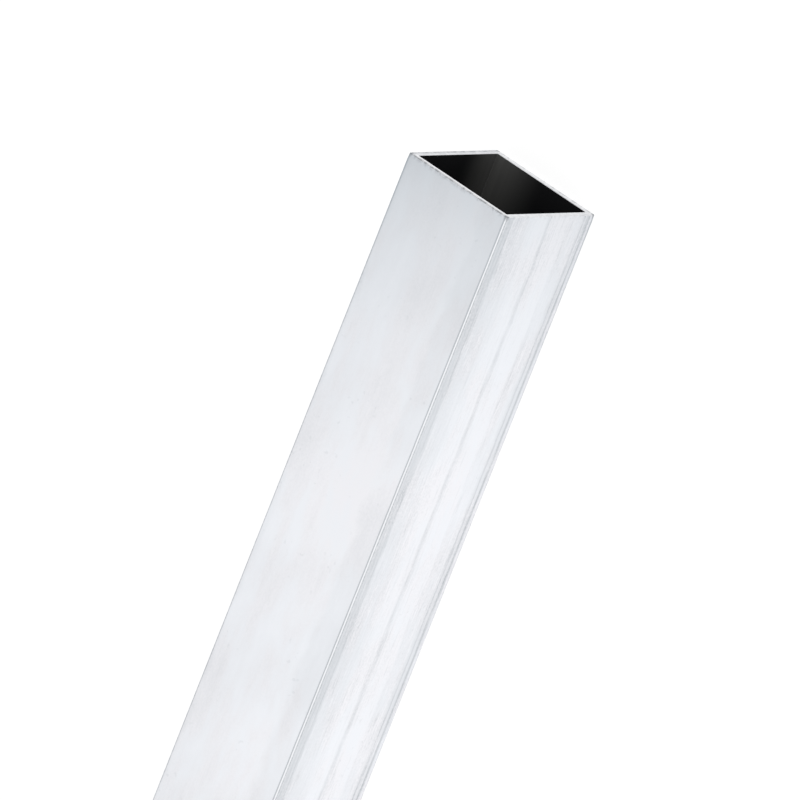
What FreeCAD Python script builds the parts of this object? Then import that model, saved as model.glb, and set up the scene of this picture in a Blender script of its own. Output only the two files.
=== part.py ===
# Square aluminium tube: extruded bar stock with a square bore, sawn to length.
# It lies on one flat side. Millimetres, +Z up, +X along the tube.
# The origin is the middle of the face that it rests on.

import FreeCAD
import Part
import math
import os

# Driving dimensions
outer_width = 31.75
wall_thickness = 1.5875
tube_length = 304.8
outer_corner_radius = 0.4
inner_corner_radius = 0.25
end_edge_break = 0.12

# Worked out from the driving dimensions
bore_width = outer_width - 2.0 * wall_thickness
half_length = tube_length / 2.0
section_centre = FreeCAD.Vector(-half_length, 0.0, outer_width / 2.0)
extrusion_direction = FreeCAD.Vector(tube_length, 0.0, 0.0)


# The section's sides and corners

def section_point(across, up):
    """A point of the section's plane, measured from the middle of the bore."""
    return section_centre + FreeCAD.Vector(0.0, across, up)


def corner_arc(across_sign, up_sign, half_width, radius):
    """The quarter circle that rounds one corner of a square."""
    centre_offset = half_width - radius
    arc_centre = section_point(across_sign * centre_offset, up_sign * centre_offset)
    diagonal = radius * math.sqrt(0.5)
    side_end = arc_centre + FreeCAD.Vector(0.0, across_sign * radius, 0.0)
    middle = arc_centre + FreeCAD.Vector(0.0, across_sign * diagonal, up_sign * diagonal)
    level_end = arc_centre + FreeCAD.Vector(0.0, 0.0, up_sign * radius)
    return Part.Arc(side_end, middle, level_end).toShape()


def rounded_square(width, radius):
    """A closed square outline about the tube's axis, with its corners rounded."""
    half_width = width / 2.0
    flat_end = half_width - radius
    edges = []
    for sign in (-1.0, 1.0):
        upright_start = section_point(sign * half_width, -flat_end)
        upright_end = section_point(sign * half_width, flat_end)
        edges.append(Part.LineSegment(upright_start, upright_end).toShape())
        level_start = section_point(-flat_end, sign * half_width)
        level_end = section_point(flat_end, sign * half_width)
        edges.append(Part.LineSegment(level_start, level_end).toShape())
    for across_sign in (-1.0, 1.0):
        for up_sign in (-1.0, 1.0):
            edges.append(corner_arc(across_sign, up_sign, half_width, radius))
    return Part.Wire(Part.__sortEdges__(edges))


# The tube is one extrusion of its hollow section

def extruded_tube():
    """The hollow section, run along the tube's whole length."""
    outside = Part.Face(rounded_square(outer_width, outer_corner_radius)).extrude(extrusion_direction)
    bore = Part.Face(rounded_square(bore_width, inner_corner_radius)).extrude(extrusion_direction)
    return outside.cut(bore)


def edges_of_the_sawn_ends(tube):
    """Every edge that lies wholly in one of the two end faces."""
    tolerance = 1.0e-4
    found = []
    for edge in tube.Edges:
        box = edge.BoundBox
        lies_flat = box.XLength < tolerance
        at_an_end = abs(abs(box.Center.x) - half_length) < tolerance
        if lies_flat and at_an_end:
            found.append(edge)
    return found


def broken_ends(tube):
    """The tube with the sharp edges of both sawn ends filed off, inside and out."""
    return tube.makeChamfer(end_edge_break, edges_of_the_sawn_ends(tube))


def one_solid(shape):
    """The single solid inside the result of a cut or a chamfer."""
    if len(shape.Solids) != 1:
        raise ValueError("the tube has to be one solid")
    return shape.Solids[0]


square_tube = one_solid(broken_ends(one_solid(extruded_tube())))

os.makedirs("parts", exist_ok=True)
square_tube.exportStep("parts/square_tube.step")

section_area = outer_width ** 2 - bore_width ** 2
print("valid", square_tube.isValid(), "volume mm3", round(square_tube.Volume, 1))
print("square-cornered section times length mm3", round(section_area * tube_length, 1))
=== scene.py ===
# The look of a square aluminium tube: its extruded sides, sawn ends and dark bore,
# with the stage, lamp and camera that show it. Metres, +Z up, +X along the tube.

import math

import bpy
from mathutils import Matrix, Vector


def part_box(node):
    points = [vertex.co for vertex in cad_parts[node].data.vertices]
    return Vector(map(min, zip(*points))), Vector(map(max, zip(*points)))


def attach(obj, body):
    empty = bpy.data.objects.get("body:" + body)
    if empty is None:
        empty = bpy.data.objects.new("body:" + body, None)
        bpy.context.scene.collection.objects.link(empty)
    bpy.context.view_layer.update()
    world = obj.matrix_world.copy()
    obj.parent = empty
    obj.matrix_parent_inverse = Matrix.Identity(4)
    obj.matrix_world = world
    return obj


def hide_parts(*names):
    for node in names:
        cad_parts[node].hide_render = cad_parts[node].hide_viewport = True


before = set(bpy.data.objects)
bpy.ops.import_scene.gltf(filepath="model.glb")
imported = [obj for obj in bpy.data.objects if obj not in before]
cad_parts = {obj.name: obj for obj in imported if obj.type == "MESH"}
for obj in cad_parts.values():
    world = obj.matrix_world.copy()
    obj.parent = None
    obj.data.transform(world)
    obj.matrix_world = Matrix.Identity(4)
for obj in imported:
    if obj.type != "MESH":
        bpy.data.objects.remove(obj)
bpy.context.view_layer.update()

bl_info = {
    "name": "Square Tube",
    "version": (1, 0, 0),
    "blender": (4, 5, 0),
    "location": "3D View > Sidebar > Square Tube",
    "description": "Makes an extruded square aluminium tube and the stage that shows it",
    "category": "Object",
}

NODE = "square_tube"
PIECE = "square_tube_finished"
TUBE_LOW, TUBE_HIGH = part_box(NODE)
TUBE_LENGTH = TUBE_HIGH.x - TUBE_LOW.x
TUBE_WIDTH = TUBE_HIGH.y - TUBE_LOW.y

# The four sides, counted from the top one towards the front, and so round under the tube
TOP, FRONT, BOTTOM, BACK = range(4)

# Which part of the wall a face belongs to
OUTSIDE, RIM, BORE = range(3)


# Sizes and colours that a user would change

class TubeSizes(bpy.types.PropertyGroup):
    """The tube's section, its edges and the fine relief of its surface"""

    wall: bpy.props.FloatProperty(
        name="Wall", description="Thickness of each side", default=0.0015875, unit="LENGTH")
    outer_corner: bpy.props.FloatProperty(
        name="Outer Corner", description="Radius of the long outer edges", default=0.0004, unit="LENGTH")
    bore_corner: bpy.props.FloatProperty(
        name="Bore Corner", description="Radius of the bore's corners", default=0.00025, unit="LENGTH")
    edge_break: bpy.props.FloatProperty(
        name="Edge Break", description="How far the sawn edges are filed off", default=0.00012, unit="LENGTH")
    side_segments: bpy.props.IntProperty(
        name="Side Segments", description="Faces across each flat side", default=140, min=4)
    corner_segments: bpy.props.IntProperty(
        name="Corner Segments", description="Faces round each long edge", default=8, min=2)
    long_rows: bpy.props.IntProperty(
        name="Long Rows", description="Rows of faces along the outside", default=56, min=2)
    bore_rows: bpy.props.IntProperty(
        name="Bore Rows", description="Rows of faces along the bore", default=24, min=2)
    rim_rows: bpy.props.IntProperty(
        name="Rim Rows", description="Rows of faces across each sawn rim", default=6, min=1)
    end_crowding: bpy.props.FloatProperty(
        name="End Crowding", description="How much closer the rows lie at the ends", default=0.96,
        min=0.0, max=0.99, subtype="FACTOR")
    line_depth: bpy.props.FloatProperty(
        name="Die Line Depth", description="Depth of the lines that the die draws", default=0.000012,
        precision=6, unit="LENGTH")
    saw_depth: bpy.props.FloatProperty(
        name="Saw Mark Depth", description="Depth of the marks on the sawn rims", default=0.000015,
        precision=6, unit="LENGTH")
    saw_pitch: bpy.props.FloatProperty(
        name="Saw Mark Pitch", description="Distance between two saw marks", default=0.0007, unit="LENGTH")
    saw_angle: bpy.props.FloatProperty(
        name="Saw Mark Angle", description="How far the saw marks lean", default=math.radians(25.0),
        unit="ROTATION")
    nick_depth: bpy.props.FloatProperty(
        name="Nick Depth", description="Depth of the nicks that the saw leaves on the outer edge",
        default=0.00009, precision=6, unit="LENGTH")
    nick_spacing: bpy.props.FloatProperty(
        name="Nick Spacing", description="Usual distance between two nicks", default=0.0011, unit="LENGTH")
    seed: bpy.props.IntProperty(
        name="Seed", description="Changes where the chance marks fall", default=7)


class TubeFinish(bpy.types.PropertyGroup):
    """The colours of the metal and of the stage"""

    bright_metal: bpy.props.FloatVectorProperty(
        name="Bright Metal", description="Clean extruded surface", default=(0.881, 0.899, 0.936),
        size=3, min=0.0, max=1.0, subtype="COLOR")
    warm_metal: bpy.props.FloatVectorProperty(
        name="Warm Patches", description="Clean surface where it looks a little warmer",
        default=(0.896, 0.896, 0.927), size=3, min=0.0, max=1.0, subtype="COLOR")
    # Also the colour of the painted shade along the long edges and across the top and the front
    dull_and_shade_metal: bpy.props.FloatVectorProperty(
        name="Dull Metal", description="Where the die dragged and the surface is duller",
        default=(0.530, 0.555, 0.583), size=3, min=0.0, max=1.0, subtype="COLOR")
    # Painted highlight: a brighter colour painted on the round of the upper front edge
    edge_highlight_metal: bpy.props.FloatVectorProperty(
        name="Edge Highlight", description="The upper front edge, rubbed bright", default=(0.955, 0.972, 1.0),
        size=3, min=0.0, max=1.0, subtype="COLOR")
    # Painted shade: the sides darken towards this colour near the sawn ends
    end_shade_metal: bpy.props.FloatVectorProperty(
        name="End Shade", description="Towards which the sides darken near the sawn ends",
        default=(0.385, 0.433, 0.473), size=3, min=0.0, max=1.0, subtype="COLOR")
    sawn_metal: bpy.props.FloatVectorProperty(
        name="Sawn Metal", description="Freshly sawn rim", default=(0.865, 0.87, 0.89),
        size=3, min=0.0, max=1.0, subtype="COLOR")
    # Also the colour of the painted shade on the sawn rims
    burr_and_rim_shade: bpy.props.FloatVectorProperty(
        name="Burr", description="Grey burr and nicks along the sawn edge", default=(0.30, 0.315, 0.335),
        size=3, min=0.0, max=1.0, subtype="COLOR")
    # Painted shade: the inside of the bore is painted near-black, and its sheen is painted light
    bore_painted_dark: bpy.props.FloatVectorProperty(
        name="Bore", description="Unlit inside of the bore", default=(0.004, 0.004, 0.0045),
        size=3, min=0.0, max=1.0, subtype="COLOR")
    bore_painted_sheen: bpy.props.FloatVectorProperty(
        name="Bore Sheen", description="Soft grey sheen along the bore's lower back corner",
        default=(0.065, 0.065, 0.063), size=3, min=0.0, max=1.0, subtype="COLOR")
    floor: bpy.props.FloatVectorProperty(
        name="Floor", description="Plain pale floor", default=(0.85, 0.85, 0.85),
        size=3, min=0.0, max=1.0, subtype="COLOR")


class StageSettings(bpy.types.PropertyGroup):
    """The camera's place and the strength of the light"""

    azimuth: bpy.props.FloatProperty(
        name="Azimuth", description="Camera's turn about the tube, from the front towards the right end",
        default=math.radians(29.59), unit="ROTATION")
    elevation: bpy.props.FloatProperty(
        name="Elevation", description="Camera's height above the floor, as an angle",
        default=math.radians(51.0), unit="ROTATION")
    roll: bpy.props.FloatProperty(
        name="Roll", description="Camera's turn about its own line of sight",
        default=math.radians(-92.1), unit="ROTATION")
    distance: bpy.props.FloatProperty(
        name="Distance", description="From the camera to the tube's near end", default=6.35, unit="LENGTH")
    world_strength: bpy.props.FloatProperty(
        name="Surround Light", description="Even light from all round", default=0.85, min=0.0)
    horizon: bpy.props.FloatProperty(
        name="Horizon", description="How bright the low part of the surround is in the metal's reflections",
        default=0.42, min=0.0, max=1.0, subtype="FACTOR")
    lamp_power: bpy.props.FloatProperty(
        name="Lamp", description="Power of the large soft lamp above the front", default=12.0, min=0.0,
        unit="POWER")


# Building node trees

class Graph:
    """A node tree, with short ways to add nodes and link them."""

    def __init__(self, tree):
        self.tree = tree

    def node(self, kind, inputs=(), **settings):
        made = self.tree.nodes.new(kind)
        for name, value in settings.items():
            setattr(made, name, value)
        for socket, value in dict(inputs).items():
            self.feed(made.inputs[socket], value)
        return made

    def feed(self, socket, value):
        if isinstance(value, bpy.types.NodeSocket):
            self.tree.links.new(value, socket)
        else:
            socket.default_value = value

    def math(self, operation, *values, clamp=False):
        made = self.node("ShaderNodeMath", operation=operation, use_clamp=clamp)
        for index, value in enumerate(values):
            self.feed(made.inputs[index], value)
        return made.outputs[0]

    def vector(self, operation, *values):
        made = self.node("ShaderNodeVectorMath", operation=operation)
        for index, value in enumerate(values):
            self.feed(made.inputs[index], value)
        return made.outputs["Vector"]

    def scaled(self, vector, factor):
        made = self.node("ShaderNodeVectorMath", {0: vector}, operation="SCALE")
        self.feed(made.inputs["Scale"], factor)
        return made.outputs["Vector"]

    def combined(self, x, y, z):
        return self.node("ShaderNodeCombineXYZ", {"X": x, "Y": y, "Z": z}).outputs[0]

    def separated(self, vector):
        return self.node("ShaderNodeSeparateXYZ", {0: vector}).outputs

    def between(self, start, end, share):
        """A value share of the way from start to end."""
        return self.math("MULTIPLY_ADD", self.math("SUBTRACT", end, start), share, start)

    def ramp(self, value, low, high, at_low, at_high):
        """A smooth step from at_low to at_high while value runs from low to high."""
        inputs = {"Value": value, "From Min": low, "From Max": high, "To Min": at_low, "To Max": at_high}
        made = self.node("ShaderNodeMapRange", inputs, interpolation_type="SMOOTHSTEP")
        return made.outputs[0]

    def pulse(self, value, place, half_width, height):
        """A smooth bump of that height, centred on place."""
        away = self.math("ABSOLUTE", self.math("SUBTRACT", value, place))
        return self.ramp(away, 0.0, half_width, height, 0.0)

    def total(self, values):
        """The sum of several values."""
        result = values[0]
        for value in values[1:]:
            result = self.math("ADD", result, value)
        return result

    def noise(self, dimensions, where, scale, detail=2.0, roughness=0.5):
        inputs = {"Scale": scale, "Detail": detail, "Roughness": roughness}
        inputs["W" if dimensions == "1D" else "Vector"] = where
        return self.node("ShaderNodeTexNoise", inputs, noise_dimensions=dimensions).outputs[0]


def sockets_of(tree, names, kind, in_out="INPUT"):
    """Adds sockets of one kind to a tree."""
    for name in names:
        tree.interface.new_socket(name=name, in_out=in_out, socket_type=kind)


# The wall as rings of faces. Each strip runs round the section, between two rings.
# A ring is given by its place along the tube and by how far it lies below the outer face.

STRIP_MEASURES = ("Outer Width", "Wall", "Outer Corner", "Bore Corner",
                  "Start X", "Start Inset", "End X", "End Inset", "Crowding")
STRIP_COUNTS = ("Rows", "Side Segments", "Corner Segments", "Zone")


def strip_group():
    """A node group that makes one strip of the wall, right round the square."""
    tree = bpy.data.node_groups.new("Wall Strip", "GeometryNodeTree")
    sockets_of(tree, STRIP_MEASURES, "NodeSocketFloat")
    sockets_of(tree, STRIP_COUNTS, "NodeSocketInt")
    sockets_of(tree, ("Geometry",), "NodeSocketGeometry", "OUTPUT")
    graph = Graph(tree)
    given = graph.node("NodeGroupInput").outputs

    # A flat grid: its X counts the rows, its Y runs round the section
    per_side = graph.math("ADD", given["Side Segments"], given["Corner Segments"])
    around = graph.math("MULTIPLY", per_side, 4.0)
    grid = graph.node("GeometryNodeMeshGrid", {
        "Size X": 1.0, "Size Y": 1.0,
        "Vertices X": graph.math("ADD", given["Rows"], 1.0),
        "Vertices Y": graph.math("ADD", around, 1.0)})
    flat = graph.separated(graph.node("GeometryNodeInputPosition").outputs[0])
    along = graph.math("ADD", flat["X"], 0.5)
    step = graph.math("ROUND", graph.math("MULTIPLY", graph.math("ADD", flat["Y"], 0.5), around))
    side = graph.math("FLOOR", graph.math("DIVIDE", graph.math("ADD", step, 0.5), per_side))
    local = graph.math("SUBTRACT", step, graph.math("MULTIPLY", side, per_side))

    # Along the flat of a side, from -1 to 1, and then round the corner after it
    flat_segments = given["Side Segments"]
    flat_share = graph.math("DIVIDE", graph.math("MINIMUM", local, flat_segments), flat_segments)
    flat_place = graph.math("MULTIPLY_ADD", flat_share, 2.0, -1.0)
    past_flat = graph.math("MAXIMUM", graph.math("SUBTRACT", local, flat_segments), 0.0)
    turn = graph.math("MULTIPLY", graph.math("DIVIDE", past_flat, given["Corner Segments"]), math.pi / 2.0)

    # The ring's half width and corner radius, at this depth in the wall
    inset = graph.between(given["Start Inset"], given["End Inset"], along)
    half_width = graph.math("SUBTRACT", graph.math("MULTIPLY", given["Outer Width"], 0.5), inset)
    depth_share = graph.math("DIVIDE", inset, given["Wall"])
    radius = graph.between(given["Outer Corner"], given["Bore Corner"], depth_share)
    flat_half = graph.math("SUBTRACT", half_width, radius)
    sine = graph.math("SINE", turn)
    cosine = graph.math("COSINE", turn)
    along_flat = graph.math("MULTIPLY", flat_place, flat_half)
    sideways = graph.math("ADD", along_flat, graph.math("MULTIPLY", radius, sine))
    outwards = graph.math("MULTIPLY_ADD", radius, cosine, flat_half)

    # Rows crowd towards the tube's two ends
    centred = graph.math("MULTIPLY_ADD", along, 2.0, -1.0)
    cube = graph.math("MULTIPLY", centred, graph.math("MULTIPLY", centred, centred))
    eased = graph.math("MULTIPLY", graph.math("SUBTRACT", graph.math("MULTIPLY", centred, 3.0), cube), 0.5)
    spread = graph.between(centred, eased, given["Crowding"])
    lengthwise = graph.between(given["Start X"], given["End X"], graph.math("MULTIPLY_ADD", spread, 0.5, 0.5))

    # Turn the side into its place
    quarter = graph.math("MULTIPLY", side, math.pi / 2.0)
    upright = graph.combined(0.0, graph.math("MULTIPLY", sideways, -1.0), outwards)
    facing = graph.combined(0.0, graph.math("MULTIPLY", sine, -1.0), cosine)
    turned = []
    for vector in (upright, facing):
        rotate = graph.node("ShaderNodeVectorRotate", {"Vector": vector, "Angle": quarter},
                            rotation_type="X_AXIS")
        turned.append(rotate.outputs[0])
    middle_height = graph.math("MULTIPLY", given["Outer Width"], 0.5)
    place = graph.vector("ADD", turned[0], graph.combined(lengthwise, 0.0, middle_height))

    # The values are stored before the grid is bent, because they read its flat places
    geometry = grid.outputs["Mesh"]
    for name, kind, domain, value in (
            ("place", "FLOAT_VECTOR", "POINT", place),
            ("outward", "FLOAT_VECTOR", "POINT", turned[1]),
            ("zone", "INT", "FACE", given["Zone"])):
        stored = graph.node("GeometryNodeStoreNamedAttribute",
                            {"Geometry": geometry, "Name": name, "Value": value},
                            data_type=kind, domain=domain)
        geometry = stored.outputs[0]
    bent = attribute(graph, "place", "FLOAT_VECTOR")
    moved = graph.node("GeometryNodeSetPosition", {"Geometry": geometry, "Position": bent})
    graph.feed(graph.node("NodeGroupOutput").inputs["Geometry"], moved.outputs[0])
    return tree


def attribute(graph, name, kind="FLOAT"):
    """Reads a named attribute inside a geometry tree."""
    return graph.node("GeometryNodeInputNamedAttribute", {"Name": name}, data_type=kind).outputs["Attribute"]


# Where a place lies on the tube. The same sums serve the geometry and the materials.

class Whereabouts:
    """Which side a place is on, how far across it, how deep in the wall and how far from an end."""

    def __init__(self, graph, place, width, length):
        parts = graph.separated(place)
        half = graph.math("MULTIPLY", width, 0.5)
        up = graph.math("SUBTRACT", parts["Z"], half)
        from_middle = graph.math("ABSOLUTE", parts["Y"])
        from_axis = graph.math("ABSOLUTE", up)
        level = graph.math("GREATER_THAN", from_axis, from_middle)
        upright = graph.math("SUBTRACT", 1.0, level)
        above = graph.math("GREATER_THAN", up, 0.0)
        behind = graph.math("GREATER_THAN", parts["Y"], 0.0)
        ahead = graph.math("SUBTRACT", 1.0, behind)
        below = graph.math("SUBTRACT", 1.0, above)
        rightward = graph.math("DIVIDE", parts["Y"], width)
        upward = graph.math("DIVIDE", up, width)
        self.place = place
        self.along = parts["X"]
        self.on = (graph.math("MULTIPLY", level, above), graph.math("MULTIPLY", upright, ahead),
                   graph.math("MULTIPLY", level, below), graph.math("MULTIPLY", upright, behind))
        self.across = (graph.math("SUBTRACT", 0.5, rightward), graph.math("SUBTRACT", 0.5, upward),
                       graph.math("ADD", 0.5, rightward), graph.math("ADD", 0.5, upward))
        self.depth = graph.math("SUBTRACT", half, graph.math("MAXIMUM", from_axis, from_middle))
        self.from_corner = graph.math("SUBTRACT", half, graph.math("MINIMUM", from_axis, from_middle))
        self.from_end = graph.math("SUBTRACT", graph.math("MULTIPLY", length, 0.5),
                                   graph.math("ABSOLUTE", parts["X"]))


def by_side(graph, where, values):
    """The value that belongs to the side a place is on."""
    return graph.total([graph.math("MULTIPLY", on, value) for on, value in zip(where.on, values)])


# Dull lines that the die draws, as place across the side, half width and strength. The lines next to the long
# edges are painted shade, along the edges and beside the edge highlight.
TOP_LINES = (
    (0.008, 0.013, 0.55),
    (0.983, 0.009, 1.05),
)
FRONT_LINES = (
    (0.010, 0.007, 0.28),
    (0.042, 0.012, 0.12),
    (0.080, 0.010, 0.12),
    (0.270, 0.016, 0.05),
    (0.450, 0.022, 0.06),
    (0.512, 0.043, 0.31),
    (0.562, 0.020, 0.09),
    (0.745, 0.022, 0.06),
    (0.896, 0.013, 0.30),
    (0.945, 0.020, 0.52),
    (0.990, 0.011, 0.34),
)
HIDDEN_LINES = (
    (0.012, 0.016, 0.45),
    (0.205, 0.030, 0.16),
    (0.630, 0.024, 0.22),
    (0.984, 0.016, 0.45),
)

# Smooth steps across the side, as where they start and end and the dullness at those two places. On the top
# and the front they are painted shade and light across the side; on the hidden sides they are tone.
TOP_STEPS = (
    (0.010, 0.060, 0.12, 0.02),
    (0.030, 0.700, 0.12, 0.0),
    (0.738, 0.822, 0.0, 0.11),
)
FRONT_STEPS = (
    (0.088, 0.114, 0.25, 0.0),
    (0.100, 0.500, 0.27, 0.0),
    (0.715, 0.770, 0.0, 0.11),
    (0.850, 0.885, 0.0, 0.16),
    (0.957, 0.980, 0.0, -0.14),
)
HIDDEN_STEPS = (
    (0.020, 0.360, 0.18, 0.0),
    (0.720, 0.900, 0.0, 0.12),
)
SIDE_MARKS = (
    (TOP, TOP_LINES, TOP_STEPS),
    (FRONT, FRONT_LINES, FRONT_STEPS),
    (BOTTOM, HIDDEN_LINES, HIDDEN_STEPS),
    (BACK, HIDDEN_LINES, HIDDEN_STEPS),
)

# How far the lines wander across a side, how uneven they are, and how ragged the steps are on each side.
# Within the steady reach of a corner they wander less.
LINE_WANDER = 0.036
WANDER_SCALE = 90.0
UNEVEN_SCALES = (150.0, 260.0, 260.0)
UNEVENNESS = 2.2
RAGGEDNESS = (0.16, 0.05, 0.05, 0.05)
STEADY_REACH = 0.0075
WANDER_AT_CORNER = 0.1


def die_lines_and_painted_shade(graph, where):
    """How dull the die has left the metal, along lines that run the whole length, with painted shade along
    the long edges and across the top and the front.
    """
    drift = graph.math("SUBTRACT", graph.noise("1D", where.along, WANDER_SCALE, detail=2.0), 0.5)
    patchy = graph.vector("MULTIPLY", where.place, UNEVEN_SCALES)
    chance = graph.math("SUBTRACT", graph.noise("3D", patchy, 1.0, detail=3.0, roughness=0.6), 0.5)
    loose = graph.ramp(where.from_corner, 0.0, STEADY_REACH, WANDER_AT_CORNER, 1.0)
    wander = graph.math("MULTIPLY", graph.math("MULTIPLY", drift, LINE_WANDER), loose)
    uneven = graph.math("MULTIPLY_ADD", graph.math("MULTIPLY", chance, UNEVENNESS), loose, 1.0)
    shares = []
    for side, lines, steps in SIDE_MARKS:
        across = graph.math("ADD", where.across[side], wander)
        ragged = graph.math("MULTIPLY_ADD", chance, RAGGEDNESS[side], across)
        drawn = graph.total([graph.pulse(across, *line) for line in lines])
        marks = [graph.ramp(ragged, *step) for step in steps] + [graph.math("MULTIPLY", drawn, uneven)]
        shares.append(graph.math("MULTIPLY", graph.total(marks), where.on[side]))
    return graph.total(shares)


# How far a nick reaches, and over which share of that it is whole, along an edge and at a corner
NICK_REACH = 0.0012
NICK_CORE = 0.15
CORNER_CORE = 0.5

# Between which values of the noise a nick grows, and how badly the saw nicked each side, from the top round
NICK_CHANCE = (0.48, 0.60)
NICK_SHARES = (0.48, 0.11, 0.60, 0.45)


def saw_nicks(graph, where, spacing, seed):
    """1 where the saw has nicked the outer edge of an end or left a burr there, 0 elsewhere."""
    near_end = graph.ramp(where.from_end, NICK_CORE * NICK_REACH, NICK_REACH, 1.0, 0.0)
    near_edge = graph.ramp(where.depth, NICK_CORE * NICK_REACH, NICK_REACH, 1.0, 0.0)
    at_corner = graph.ramp(where.from_corner, CORNER_CORE * NICK_REACH, NICK_REACH, 1.0, 0.0)
    scattered = graph.vector("ADD", where.place, graph.combined(seed, 0.0, 0.0))
    chance = graph.noise("3D", scattered, graph.math("DIVIDE", 1.0, spacing), detail=2.0)
    nicked = graph.ramp(chance, *NICK_CHANCE, 0.0, 1.0)
    on_side = graph.math("MULTIPLY", nicked, by_side(graph, where, NICK_SHARES))
    either = graph.math("MAXIMUM", on_side, at_corner)
    return graph.math("MULTIPLY", graph.math("MULTIPLY", near_end, near_edge), either)


TREE_MEASURES = ("Outer Width", "Length", "Wall", "Outer Corner", "Bore Corner", "Edge Break",
                 "End Crowding", "Die Line Depth", "Saw Mark Depth", "Saw Mark Pitch", "Saw Mark Angle",
                 "Nick Depth", "Nick Spacing")
TREE_COUNTS = ("Side Segments", "Corner Segments", "Long Rows", "Bore Rows", "Rim Rows", "Seed")
TREE_MATERIALS = ("Mill Finish", "Sawn End", "Bore Painted Shade")

# Within this distance two points are one, and past this angle an edge is crisp
WELD_DISTANCE = 1.0e-6
CRISP_ANGLE = math.radians(30.0)

# How often the depth of the saw marks changes, counted per mark
MARK_CHANGES = 0.6


def wall_strips(graph, given, strip):
    """The eight strips that close the wall: outside, bore, two rims and four filed edges."""
    end = graph.math("MULTIPLY", given["Length"], 0.5)
    before_end = graph.math("SUBTRACT", end, given["Edge Break"])
    far_end = graph.math("MULTIPLY", end, -1.0)
    before_far_end = graph.math("MULTIPLY", before_end, -1.0)
    deep = given["Wall"]
    nearly_deep = graph.math("SUBTRACT", deep, given["Edge Break"])
    shallow = given["Edge Break"]
    rings = (
        (before_end, 0.0, given["Long Rows"], OUTSIDE, given["End Crowding"]),
        (before_far_end, 0.0, 1, RIM, 0.0),
        (far_end, shallow, given["Rim Rows"], RIM, 0.0),
        (far_end, nearly_deep, 1, RIM, 0.0),
        (before_far_end, deep, given["Bore Rows"], BORE, given["End Crowding"]),
        (before_end, deep, 1, RIM, 0.0),
        (end, nearly_deep, given["Rim Rows"], RIM, 0.0),
        (end, shallow, 1, RIM, 0.0),
    )
    shared = ("Outer Width", "Wall", "Outer Corner", "Bore Corner", "Side Segments", "Corner Segments")
    joined = graph.node("GeometryNodeJoinGeometry")
    for index, (start_x, start_inset, rows, zone, crowding) in enumerate(rings):
        end_x, end_inset = rings[(index + 1) % len(rings)][:2]
        made = graph.node("GeometryNodeGroup", node_tree=strip)
        values = {name: given[name] for name in shared}
        values.update({"Start X": start_x, "Start Inset": start_inset, "End X": end_x,
                       "End Inset": end_inset, "Crowding": crowding, "Rows": rows, "Zone": zone})
        for name, value in values.items():
            graph.feed(made.inputs[name], value)
        graph.tree.links.new(made.outputs[0], joined.inputs[0])
    merged = graph.node("GeometryNodeMergeByDistance",
                        {"Geometry": joined.outputs[0], "Distance": WELD_DISTANCE})
    return merged.outputs[0]


def sunk_sides(graph, given, where):
    """How the die lines and the nicks sink the outer faces into the wall."""
    on_outside = graph.math("LESS_THAN", graph.math("ABSOLUTE", where.depth), given["Edge Break"])
    line_depth = graph.math("MULTIPLY", die_lines_and_painted_shade(graph, where), given["Die Line Depth"])
    nicks = saw_nicks(graph, where, given["Nick Spacing"], given["Seed"])
    nick_depth = graph.math("MULTIPLY", nicks, given["Nick Depth"])
    sunk_by = graph.math("MULTIPLY", graph.math("ADD", line_depth, nick_depth), on_outside)
    into_wall = graph.math("MINIMUM", graph.math("MULTIPLY", sunk_by, -1.0), 0.0)
    return graph.scaled(attribute(graph, "outward", "FLOAT_VECTOR"), into_wall)


def sunk_rims(graph, given, where):
    """How the saw marks sink the two rims, along the tube."""
    flat = graph.separated(where.place)
    level_part = graph.math("MULTIPLY", flat["Y"], graph.math("COSINE", given["Saw Mark Angle"]))
    upright_part = graph.math("MULTIPLY", flat["Z"], graph.math("SINE", given["Saw Mark Angle"]))
    leaning = graph.math("ADD", level_part, upright_part)
    turns = graph.math("MULTIPLY", graph.math("DIVIDE", leaning, given["Saw Mark Pitch"]), 2.0 * math.pi)
    wave = graph.math("SINE", turns)
    uneven = graph.noise("1D", leaning, graph.math("DIVIDE", MARK_CHANGES, given["Saw Mark Pitch"]))
    mark = graph.math("MULTIPLY", graph.math("MULTIPLY_ADD", wave, 0.5, 0.5), uneven)
    on_rim = graph.math("LESS_THAN", where.from_end, graph.math("MULTIPLY", given["Edge Break"], 0.5))
    depth = graph.math("MULTIPLY", graph.math("MULTIPLY", mark, on_rim), given["Saw Mark Depth"])
    into = graph.math("MULTIPLY", graph.math("MULTIPLY", graph.math("SIGN", flat["X"]), depth), -1.0)
    return graph.combined(into, 0.0, 0.0)


def shaded(graph, geometry):
    """Smooth sides, with crisp edges where the wall turns."""
    smooth = graph.node("GeometryNodeSetShadeSmooth", {"Geometry": geometry, "Shade Smooth": True},
                        domain="FACE")
    turn = graph.node("GeometryNodeInputMeshEdgeAngle").outputs["Unsigned Angle"]
    sharp = graph.math("GREATER_THAN", turn, CRISP_ANGLE)
    crisp = graph.node("GeometryNodeSetShadeSmooth",
                       {"Geometry": smooth.outputs[0], "Selection": sharp, "Shade Smooth": False},
                       domain="EDGE")
    return crisp.outputs[0]


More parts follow.
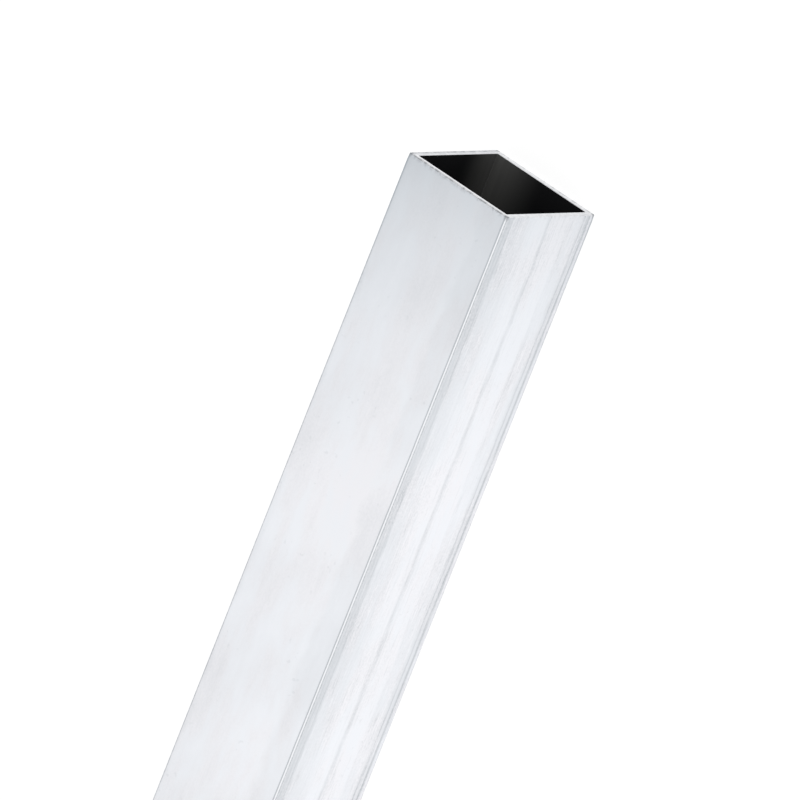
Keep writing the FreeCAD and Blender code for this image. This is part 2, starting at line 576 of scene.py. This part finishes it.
def tube_tree(strip):
    """The node tree that makes the whole tube."""
    tree = bpy.data.node_groups.new("Square Tube", "GeometryNodeTree")
    sockets_of(tree, TREE_MEASURES, "NodeSocketFloat")
    sockets_of(tree, TREE_COUNTS, "NodeSocketInt")
    sockets_of(tree, TREE_MATERIALS, "NodeSocketMaterial")
    sockets_of(tree, ("Geometry",), "NodeSocketGeometry", "OUTPUT")
    graph = Graph(tree)
    given = graph.node("NodeGroupInput").outputs
    place = graph.node("GeometryNodeInputPosition").outputs[0]
    where = Whereabouts(graph, place, given["Outer Width"], given["Length"])
    offset = graph.vector("ADD", sunk_sides(graph, given, where), sunk_rims(graph, given, where))
    wall = wall_strips(graph, given, strip)
    moved = graph.node("GeometryNodeSetPosition", {"Geometry": wall, "Offset": offset})
    solid = graph.node("GeometryNodeRealizeInstances", {"Geometry": shaded(graph, moved.outputs[0])})
    geometry = solid.outputs[0]
    for name, zone in zip(TREE_MATERIALS, (OUTSIDE, RIM, BORE)):
        in_zone = graph.node("FunctionNodeCompare", data_type="INT", operation="EQUAL")
        graph.feed(in_zone.inputs[2], attribute(graph, "zone", "INT"))
        graph.feed(in_zone.inputs[3], zone)
        coated = graph.node("GeometryNodeSetMaterial", {"Geometry": geometry, "Selection": in_zone.outputs[0],
                                                        "Material": given[name]})
        geometry = coated.outputs[0]
    graph.feed(graph.node("NodeGroupOutput").inputs["Geometry"], geometry)
    return tree


# Materials

def new_material(name):
    """A material with an empty tree, its shader and its output."""
    material = bpy.data.materials.new(name)
    material.use_nodes = True
    material.node_tree.nodes.clear()
    graph = Graph(material.node_tree)
    shader = graph.node("ShaderNodeBsdfPrincipled")
    output = graph.node("ShaderNodeOutputMaterial")
    graph.feed(output.inputs["Surface"], shader.outputs[0])
    return material, graph, shader


def object_places(graph, stretch):
    """Object coordinates, stretched by a factor along each axis."""
    places = graph.node("ShaderNodeTexCoord").outputs["Object"]
    return graph.node("ShaderNodeMapping", {"Vector": places, "Scale": stretch}).outputs[0]


def mixed_colour(graph, share, first, second):
    """A colour that goes from the first to the second as share goes from 0 to 1."""
    made = graph.node("ShaderNodeMix", data_type="RGBA")
    graph.feed(made.inputs["Factor"], share)
    graph.feed(made.inputs[6], first)
    graph.feed(made.inputs[7], second)
    return made.outputs[2]


def with_alpha(colour):
    """A colour with the fourth value that a colour socket wants."""
    return (*colour, 1.0)


def whereabouts_in_material(graph):
    """A place on the tube, from Object coordinates."""
    places = graph.node("ShaderNodeTexCoord").outputs["Object"]
    return Whereabouts(graph, places, TUBE_WIDTH, TUBE_LENGTH)


def swing(graph, value, reach):
    """A value that runs from 0 to 1, made to swing by reach to either side of 0."""
    return graph.math("MULTIPLY_ADD", value, 2.0 * reach, -reach)


def over_sides(graph, where, values):
    """The second value on the top side, and the first one on the other three."""
    return graph.between(*values, where.on[TOP])


def fading_from_end(graph, where, length):
    """1 at the sawn ends, fading away from them to about a third over each length."""
    return graph.math("EXPONENT", graph.math("MULTIPLY", where.from_end, -1.0 / length))


# Between which values of the noise the outer edges chip, how far the chips reach from a long edge and
# from a sawn one, and how strong they are on the long edges and on each side's sawn edge
CHIP_SCALE = 2000.0
CHIP_CHANCE = (0.38, 0.62)
LONG_CHIP_REACH = (0.0001, 0.0007)
SAWN_CHIP_REACH = (0.0002, 0.0010)
EDGE_CHIPS = 0.25
END_CHIPS = (0.35, 0.13, 0.30, 0.30)


def edge_chips(graph, where):
    """How much duller or brighter the chipped outer edges are, long ones and sawn ones."""
    chance = graph.noise("3D", where.place, CHIP_SCALE, detail=3.0, roughness=0.7)
    chips = graph.ramp(chance, *CHIP_CHANCE, -1.0, 1.0)
    long_edge = graph.ramp(where.from_corner, *LONG_CHIP_REACH, EDGE_CHIPS, 0.0)
    near_end = graph.ramp(where.from_end, *SAWN_CHIP_REACH, 1.0, 0.0)
    sawn_edge = graph.math("MULTIPLY", near_end, by_side(graph, where, END_CHIPS))
    return graph.math("MULTIPLY", chips, graph.math("MAXIMUM", long_edge, sawn_edge))


SCRATCH_STRETCH = (150.0, 2600.0, 2600.0)
DULL_SCRATCHES = (0.58, 0.68)
BRIGHT_SCRATCHES = (0.32, 0.42)


def scratches(graph):
    """Short scratches along the tube, dull ones and bright ones."""
    chance = graph.noise("3D", object_places(graph, SCRATCH_STRETCH), 1.0, detail=2.0)
    dull = graph.ramp(chance, *DULL_SCRATCHES, 0.0, 1.0)
    bright = graph.ramp(chance, *BRIGHT_SCRATCHES, 1.0, 0.0)
    return graph.math("SUBTRACT", dull, bright)


PIT_GROUP_SCALE = 60.0
PIT_GROUPS = (0.48, 0.60)
PIT_SCALE = 700.0
PIT_CHANCE = (0.66, 0.76)


def pits(graph, where):
    """A few small dull pits, in loose groups."""
    groups = graph.ramp(graph.noise("3D", where.place, PIT_GROUP_SCALE, detail=1.0), *PIT_GROUPS, 0.0, 1.0)
    chance = graph.noise("3D", where.place, PIT_SCALE, detail=1.0)
    return graph.math("MULTIPLY", graph.ramp(chance, *PIT_CHANCE, 0.0, 1.0), groups)


# Where the painted highlight on the upper front edge starts across the top and ends across the front
HIGHLIGHT_TOP = (0.9890, 0.9912)
HIGHLIGHT_FRONT = (0.0042, 0.0075)


def painted_edge_highlight(graph, where):
    """1 on the round of the upper front edge, where a highlight is painted, and 0 elsewhere."""
    top_round = graph.ramp(where.across[TOP], *HIGHLIGHT_TOP, 0.0, 1.0)
    front_round = graph.ramp(where.across[FRONT], *HIGHLIGHT_FRONT, 1.0, 0.0)
    on_top = graph.math("MULTIPLY", where.on[TOP], top_round)
    return graph.math("MULTIPLY_ADD", where.on[FRONT], front_round, on_top)


# Painted shade along the front's lower edge: its strength, where it comes in across the front, and how fast
# it fades from the sawn end
LOWER_SHADE = 0.9
LOWER_SHADE_PLACE = (0.974, 0.981)
LOWER_SHADE_LENGTH = 0.016


def painted_lower_edge_shade(graph, where):
    """Painted shade along the front's lower edge, which fades away from the sawn end."""
    at_edge = graph.ramp(where.across[FRONT], *LOWER_SHADE_PLACE, 0.0, LOWER_SHADE)
    fade = fading_from_end(graph, where, LOWER_SHADE_LENGTH)
    return graph.math("MULTIPLY", where.on[FRONT], graph.math("MULTIPLY", at_edge, fade))


# How the noises are stretched along and across the tube, and how the broad bands lie and lean
CLOUD_STRETCH = (45.0, 120.0, 120.0)
HAIR_STRETCH = (9.0, 2600.0, 2600.0)
GRAIN_STRETCH = (1500.0, 1900.0, 1900.0)
BAND_STRETCH = (42.0, 9.0, 9.0)
BAND_PLACE = (2.15, 0.0, 0.0)
BAND_LEAN = math.radians(-27.0)

# How far each kind of mark swings the dullness, and how strong it is elsewhere and on the top side
BAND_SWING = 0.21
CLOUD_SWING = 0.13
HAIR_SWING = 0.07
GRAIN_SWING = 0.21
BAND_STRENGTH = (0.45, 1.10)
CLOUD_STRENGTH = (1.05, 1.90)
SCRATCH_STRENGTH = (0.15, 0.06)
FINE_STRENGTH = (1.0, 0.40)
PIT_DULLNESS = 0.17
PLAIN_DULLNESS = 0.01

# The fine marks' ramp over the clouds, and how they grow with the die's marks from a base
FINE_IN_CLOUDS = (0.42, 0.62, 0.5, 1.5)
FINE_ALONG_LINES = (1.1, 0.85)


def leaning_bands(graph, where):
    """Broad soft bands that lean across the sides."""
    leaning = graph.node("ShaderNodeMapping", {"Vector": where.place, "Rotation": (0.0, 0.0, BAND_LEAN)})
    stretched = graph.node("ShaderNodeMapping", {"Vector": leaning.outputs[0], "Scale": BAND_STRETCH,
                                                 "Location": BAND_PLACE})
    return graph.noise("3D", stretched.outputs[0], 1.0, detail=1.0)


def fine_marks(graph, where, marks, clouds, hairs, grain):
    """Hairlines, grain and scratches, stronger in the clouds and along the die's dull lines."""
    scratched = over_sides(graph, where, SCRATCH_STRENGTH)
    fine = graph.total([swing(graph, hairs, HAIR_SWING), swing(graph, grain, GRAIN_SWING),
                        graph.math("MULTIPLY", scratches(graph), scratched)])
    in_clouds = graph.ramp(clouds, *FINE_IN_CLOUDS)
    along_lines = graph.math("MULTIPLY_ADD", marks, *FINE_ALONG_LINES)
    strength = graph.math("MULTIPLY", over_sides(graph, where, FINE_STRENGTH), in_clouds)
    return graph.math("MULTIPLY", fine, graph.math("MULTIPLY", strength, along_lines))


def dullness_and_shade_of_sides(graph, where, clouds, hairs, grain):
    """How dull every kind of mark together leaves the sides, with the painted shade among them, from 0 to 1.
    """
    marks = die_lines_and_painted_shade(graph, where)
    bands = swing(graph, leaning_bands(graph, where), BAND_SWING)
    patches = swing(graph, clouds, CLOUD_SWING)
    together = graph.total([
        marks,
        # Painted shade along the front's lower edge
        painted_lower_edge_shade(graph, where),
        graph.math("MULTIPLY", over_sides(graph, where, BAND_STRENGTH), bands),
        graph.math("MULTIPLY", over_sides(graph, where, CLOUD_STRENGTH), patches),
        graph.math("MULTIPLY", pits(graph, where), PIT_DULLNESS),
        fine_marks(graph, where, marks, clouds, hairs, grain),
        graph.math("SUBTRACT", PLAIN_DULLNESS, edge_chips(graph, where))])
    return graph.math("MULTIPLY", together, 1.0, clamp=True)


# How much painted shade darkens the sides at the sawn ends: across the top from its back edge to its front
# one, with more along the very back edge, and then on the front, the bottom and the back
END_FADE_LENGTH = 0.030
TOP_END_FADE = (0.58, 0.42)
TOP_EDGE_FADE = 0.40
TOP_EDGE_REACH = (0.010, 0.028)
OTHER_END_FADES = (0.24, 0.30, 0.30)


def painted_end_shade(graph, where):
    """How far the colour of the sides has gone towards the painted shade of the ends."""
    at_back_edge = graph.ramp(where.across[TOP], *TOP_EDGE_REACH, TOP_EDGE_FADE, 0.0)
    on_top = graph.math("ADD", graph.between(*TOP_END_FADE, where.across[TOP]), at_back_edge)
    at_end = by_side(graph, where, (on_top, *OTHER_END_FADES))
    return graph.math("MULTIPLY", fading_from_end(graph, where, END_FADE_LENGTH), at_end)


# Between which values of the clouds the metal turns warmer, how dark the nicks are, and the roughness
# of the clean and of the dull metal
WARM_CLOUDS = (0.40, 0.60)
NICK_DARKNESS = 0.62
SIDE_ROUGHNESS = (0.29, 0.41)


def mill_finish(finish, sizes):
    """Bright extruded aluminium: drawn lines along the tube, faint clouds and small marks."""
    material, graph, shader = new_material("mill_finish")
    where = whereabouts_in_material(graph)
    clouds = graph.noise("3D", object_places(graph, CLOUD_STRETCH), 1.0, detail=3.0, roughness=0.6)
    hairs = graph.noise("3D", object_places(graph, HAIR_STRETCH), 1.0, detail=3.0, roughness=0.65)
    grain = graph.noise("3D", object_places(graph, GRAIN_STRETCH), 1.0, detail=2.0, roughness=0.6)
    dull_and_shade_share = dullness_and_shade_of_sides(graph, where, clouds, hairs, grain)
    nicks = saw_nicks(graph, where, sizes.nick_spacing, float(sizes.seed))
    colour = with_alpha(finish.bright_metal)
    for share, towards in (
            (graph.ramp(clouds, *WARM_CLOUDS, 0.0, 1.0), finish.warm_metal),
            # The die's dull lines, with painted shade along the edges and across the top and the front
            (dull_and_shade_share, finish.dull_and_shade_metal),
            # Painted shade near the sawn ends
            (painted_end_shade(graph, where), finish.end_shade_metal),
            # Painted highlight on the upper front edge
            (painted_edge_highlight(graph, where), finish.edge_highlight_metal),
            (graph.math("MULTIPLY", nicks, NICK_DARKNESS), finish.burr_and_rim_shade)):
        colour = mixed_colour(graph, share, colour, with_alpha(towards))
    graph.feed(shader.inputs["Base Color"], colour)
    shader.inputs["Metallic"].default_value = 1.0
    graph.feed(shader.inputs["Roughness"], graph.between(*SIDE_ROUGHNESS, dull_and_shade_share))
    relief = graph.math("ADD", hairs, grain)
    bump = graph.node("ShaderNodeBump", {"Strength": 0.06, "Distance": 0.00002, "Height": relief})
    graph.feed(shader.inputs["Normal"], bump.outputs[0])
    return material


# How grey each side's rim is painted, from the top one round: all over, along its outer edge
# and along its inner edge. This is painted shade and, where negative, a painted highlight along the inner
# edge.
RIM_PAINTED_SHADES = (
    (0.40, 0.02, -0.36),
    (0.14, 0.04, 0.0),
    (0.02, 0.16, 0.10),
    (0.46, 0.16, -0.20),
)
RIM_OUTER_EDGE = (0.00010, 0.00050)
RIM_INNER_EDGE = (0.00065, 0.00105)
GRIT_STRETCH = (1100.0, 1100.0, 1100.0)
GRIT_SWING = 0.25
RIM_ROUGHNESS = (0.28, 0.43)


def sawn_end(finish, sizes):
    """The rim that the saw leaves, nicked along its outer edge, painted bright inside and painted greyer
    along its outer edge.
    """
    material, graph, shader = new_material("sawn_end")
    where = whereabouts_in_material(graph)
    grit = graph.noise("3D", object_places(graph, GRIT_STRETCH), 1.0, detail=3.0)
    at_outer = graph.ramp(where.depth, *RIM_OUTER_EDGE, 1.0, 0.0)
    at_inner = graph.ramp(where.depth, *RIM_INNER_EDGE, 0.0, 1.0)
    grit_nicks_and_shade = [swing(graph, grit, GRIT_SWING), saw_nicks(graph, where, sizes.nick_spacing, float(sizes.seed))]
    # Painted shade and highlight on each rim, by its side
    for on, (overall, outer, inner) in zip(where.on, RIM_PAINTED_SHADES):
        inside = graph.math("MULTIPLY_ADD", at_inner, inner, overall)
        grit_nicks_and_shade.append(graph.math("MULTIPLY", on, graph.math("MULTIPLY_ADD", at_outer, outer, inside)))
    grey = graph.math("MULTIPLY", graph.total(grit_nicks_and_shade), 1.0, clamp=True)
    colour = mixed_colour(graph, grey, with_alpha(finish.sawn_metal), with_alpha(finish.burr_and_rim_shade))
    graph.feed(shader.inputs["Base Color"], colour)
    shader.inputs["Metallic"].default_value = 1.0
    graph.feed(shader.inputs["Roughness"], graph.between(*RIM_ROUGHNESS, grit))
    bump = graph.node("ShaderNodeBump", {"Strength": 0.15, "Distance": 0.00002, "Height": grit})
    graph.feed(shader.inputs["Normal"], bump.outputs[0])
    return material


# The painted sheen across the bore's bottom and back, counted from their common corner: where it starts and
# ends and its strength at those two places
BOTTOM_SHEEN = (0.02, 0.54, 1.0, 0.0)
BACK_SHEEN = (0.0, 0.42, 0.90, 0.0)
STREAK_STRETCH = (4.0, 700.0, 700.0)
STREAK_STRENGTH = (0.8, 1.2)


def bore_painted_shade(finish):
    """The bore painted near-black as shade, with a painted soft grey sheen along its lower back corner."""
    material, graph, shader = new_material("bore_painted_shade")
    where = whereabouts_in_material(graph)
    streaks = graph.noise("3D", object_places(graph, STREAK_STRETCH), 1.0, detail=2.0)
    from_back = graph.math("SUBTRACT", 1.0, where.across[BOTTOM])
    on_bottom = graph.math("MULTIPLY", where.on[BOTTOM], graph.ramp(from_back, *BOTTOM_SHEEN))
    on_back = graph.math("MULTIPLY", where.on[BACK], graph.ramp(where.across[BACK], *BACK_SHEEN))
    sheen = graph.math("MULTIPLY", graph.math("ADD", on_bottom, on_back),
                       graph.between(*STREAK_STRENGTH, streaks))
    # Painted shade, with a painted sheen near the lower back corner
    colour = mixed_colour(graph, sheen, with_alpha(finish.bore_painted_dark), with_alpha(finish.bore_painted_sheen))
    graph.feed(shader.inputs["Base Color"], colour)
    shader.inputs["Metallic"].default_value = 0.0
    shader.inputs["Roughness"].default_value = 0.65
    shader.inputs["Specular IOR Level"].default_value = 0.1
    return material


# The tube's operator

def tube_inputs(sizes, materials):
    """Every named input of the tube's tree, with its value. A size has the name of its input."""
    values = {"Outer Width": TUBE_WIDTH, "Length": TUBE_LENGTH}
    for key in sizes.__annotations__:
        values[sizes.bl_rna.properties[key].name] = getattr(sizes, key)
    values.update(zip(TREE_MATERIALS, materials))
    return values


def plain_mesh_from_tree(name, tree, values):
    """Runs a geometry tree on an empty mesh and returns an object that holds the result."""
    carrier = bpy.data.objects.new(name + "_carrier", bpy.data.meshes.new(name + "_carrier"))
    bpy.context.scene.collection.objects.link(carrier)
    modifier = carrier.modifiers.new(tree.name, "NODES")
    modifier.node_group = tree
    for item in tree.interface.items_tree:
        if item.item_type == "SOCKET" and item.in_out == "INPUT":
            modifier[item.identifier] = values[item.name]
    graph = bpy.context.evaluated_depsgraph_get()
    mesh = bpy.data.meshes.new_from_object(carrier.evaluated_get(graph), depsgraph=graph)
    carrier.modifiers.remove(modifier)
    bpy.data.objects.remove(carrier)
    mesh.name = name
    piece = bpy.data.objects.new(name, mesh)
    bpy.context.scene.collection.objects.link(piece)
    return piece


class TUBE_OT_make_tube(bpy.types.Operator):
    """Make the extruded tube with its sawn ends and dark bore"""

    bl_idname = "tube.make_tube"
    bl_label = "Make Tube"

    def execute(self, context):
        finish = context.scene.tube_finish
        sizes = context.scene.tube_sizes
        materials = (mill_finish(finish, sizes), sawn_end(finish, sizes), bore_painted_shade(finish))
        tree = tube_tree(strip_group())
        piece = plain_mesh_from_tree(PIECE, tree, tube_inputs(sizes, materials))
        if not piece.data.polygons:
            raise RuntimeError("the tube's node tree made no faces")
        for name in ("place", "outward", "zone"):
            piece.data.attributes.remove(piece.data.attributes[name])
        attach(piece, "root")
        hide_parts(NODE)
        return {"FINISHED"}


# The stage

FLOOR_SIZE = 8.0
LAMP_SIZE = 1.7
LAMP_PLACE = Vector((0.25, -0.55, 0.95))
SENSOR_MILLIMETRES = 36.0

# Where the tube's upper back corner lies in the picture, in pixels, and how wide the tube is there
IMAGE_PIXELS = 800.0
CORNER_PIXEL = (409.1, 152.1)
PIXELS_PER_TUBE_WIDTH = 141.0

# How high the greyer part of the surround reaches in reflections, how bright the floor glows where it is
# seen directly, and how much of its look there is that glow
HORIZON_TOP = 0.55
FLOOR_GLOW = 1.07
FLOOR_GLOW_SHARE = 0.76


def lay_floor(material):
    """A square floor at the height that the tube lies on."""
    half = FLOOR_SIZE / 2.0
    corners = [(x * half, y * half, TUBE_LOW.z) for x, y in ((-1, -1), (1, -1), (1, 1), (-1, 1))]
    mesh = bpy.data.meshes.new("floor")
    mesh.from_pydata(corners, [], [(0, 1, 2, 3)])
    mesh.materials.append(material)
    floor = bpy.data.objects.new("floor", mesh)
    bpy.context.scene.collection.objects.link(floor)


def seen_directly(graph):
    """1 for rays from the camera, off a gloss or through glass, and 0 for the rest."""
    light = graph.node("ShaderNodeLightPath").outputs
    gloss = graph.math("MAXIMUM", light["Is Glossy Ray"], light["Is Transmission Ray"])
    return graph.math("MAXIMUM", light["Is Camera Ray"], gloss)


def floor_material(finish):
    """A pale floor that shows nearly white and keeps a soft shadow."""
    material = bpy.data.materials.new("pale_floor")
    material.use_nodes = True
    material.node_tree.nodes.clear()
    graph = Graph(material.node_tree)
    matt = graph.node("ShaderNodeBsdfDiffuse", {"Color": with_alpha(finish.floor)})
    white = graph.node("ShaderNodeEmission", {"Strength": FLOOR_GLOW})
    share = graph.math("MULTIPLY", seen_directly(graph), FLOOR_GLOW_SHARE)
    both = graph.node("ShaderNodeMixShader", {"Fac": share, 1: matt.outputs[0], 2: white.outputs[0]})
    graph.feed(graph.node("ShaderNodeOutputMaterial").inputs["Surface"], both.outputs[0])
    return material


def set_world(stage):
    """Even pale light all round, white behind the tube, and greyer low down in the metal's reflections."""
    world = bpy.data.worlds.new("pale_surround")
    bpy.context.scene.world = world
    world.use_nodes = True
    world.node_tree.nodes.clear()
    graph = Graph(world.node_tree)
    upward = graph.separated(graph.node("ShaderNodeTexCoord").outputs["Generated"])["Z"]
    mirrored = graph.ramp(upward, 0.0, HORIZON_TOP, stage.horizon, 1.0)
    gloss = graph.node("ShaderNodeLightPath").outputs["Is Glossy Ray"]
    seen = graph.between(1.0, mirrored, gloss)
    level = graph.between(stage.world_strength, seen, seen_directly(graph))
    light = graph.node("ShaderNodeBackground", {"Color": (1.0, 1.0, 1.0, 1.0), "Strength": level})
    graph.feed(graph.node("ShaderNodeOutputWorld").inputs["Surface"], light.outputs[0])


def hang_lamp(power):
    """A large square lamp turned towards the tube, too soft to show in the metal."""
    data = bpy.data.lights.new("soft_lamp", "AREA")
    data.shape = "SQUARE"
    data.size = LAMP_SIZE
    data.energy = power
    lamp = bpy.data.objects.new("soft_lamp", data)
    bpy.context.scene.collection.objects.link(lamp)
    turned = (-LAMP_PLACE).to_track_quat("-Z", "Y").to_matrix().to_4x4()
    lamp.matrix_world = Matrix.Translation(LAMP_PLACE) @ turned
    lamp.visible_camera = False
    lamp.visible_glossy = False


def view_axes(stage):
    """The camera's right, up and backward directions."""
    turn, height = stage.azimuth, stage.elevation
    back = Vector((math.sin(turn) * math.cos(height), -math.cos(turn) * math.cos(height), math.sin(height)))
    level_right = Vector((math.cos(turn), math.sin(turn), 0.0))
    level_up = back.cross(level_right)
    right = level_right * math.cos(stage.roll) + level_up * math.sin(stage.roll)
    return right, back.cross(right), back


def place_camera(stage):
    """Sets the camera so that the tube's upper back corner falls on its pixel, at its scale."""
    right, up, back = view_axes(stage)
    metres_per_pixel = TUBE_WIDTH / PIXELS_PER_TUBE_WIDTH
    from_centre_x = (CORNER_PIXEL[0] - IMAGE_PIXELS / 2.0) * metres_per_pixel
    from_centre_y = (IMAGE_PIXELS / 2.0 - CORNER_PIXEL[1]) * metres_per_pixel
    place = TUBE_HIGH - right * from_centre_x - up * from_centre_y + back * stage.distance
    data = bpy.data.cameras.new("photo_camera")
    data.sensor_width = SENSOR_MILLIMETRES
    data.lens = SENSOR_MILLIMETRES * stage.distance / (IMAGE_PIXELS * metres_per_pixel)
    data.clip_start = 0.1
    data.clip_end = 100.0
    camera = bpy.data.objects.new("photo_camera", data)
    bpy.context.scene.collection.objects.link(camera)
    rows = ((right.x, up.x, back.x, place.x), (right.y, up.y, back.y, place.y),
            (right.z, up.z, back.z, place.z), (0.0, 0.0, 0.0, 1.0))
    camera.matrix_world = Matrix(rows)
    bpy.context.scene.camera = camera


class TUBE_OT_make_stage(bpy.types.Operator):
    """Lay the pale floor, hang the lamp and set the camera"""

    bl_idname = "tube.make_stage"
    bl_label = "Make Stage"

    def execute(self, context):
        stage = context.scene.tube_stage
        lay_floor(floor_material(context.scene.tube_finish))
        set_world(stage)
        hang_lamp(stage.lamp_power)
        place_camera(stage)
        context.scene.view_settings.view_transform = "Standard"
        return {"FINISHED"}


# The add-on's panel and classes

class TUBE_PT_panel(bpy.types.Panel):
    """Lists the tube's sizes and colours, and makes it"""

    bl_label = "Square Tube"
    bl_idname = "TUBE_PT_panel"
    bl_space_type = "VIEW_3D"
    bl_region_type = "UI"
    bl_category = "Square Tube"

    def draw(self, context):
        for group in (context.scene.tube_sizes, context.scene.tube_finish, context.scene.tube_stage):
            box = self.layout.box()
            for name in group.__annotations__:
                box.prop(group, name)
        self.layout.operator(TUBE_OT_make_tube.bl_idname)
        self.layout.operator(TUBE_OT_make_stage.bl_idname)


CLASSES = (TubeSizes, TubeFinish, StageSettings, TUBE_OT_make_tube, TUBE_OT_make_stage, TUBE_PT_panel)


def register():
    for entry in CLASSES:
        bpy.utils.register_class(entry)
    bpy.types.Scene.tube_sizes = bpy.props.PointerProperty(type=TubeSizes)
    bpy.types.Scene.tube_finish = bpy.props.PointerProperty(type=TubeFinish)
    bpy.types.Scene.tube_stage = bpy.props.PointerProperty(type=StageSettings)


def unregister():
    del bpy.types.Scene.tube_sizes
    del bpy.types.Scene.tube_finish
    del bpy.types.Scene.tube_stage
    for entry in reversed(CLASSES):
        bpy.utils.unregister_class(entry)


def main():
    register()
    bpy.ops.tube.make_tube()
    bpy.ops.tube.make_stage()


if __name__ == "__main__":
    main()
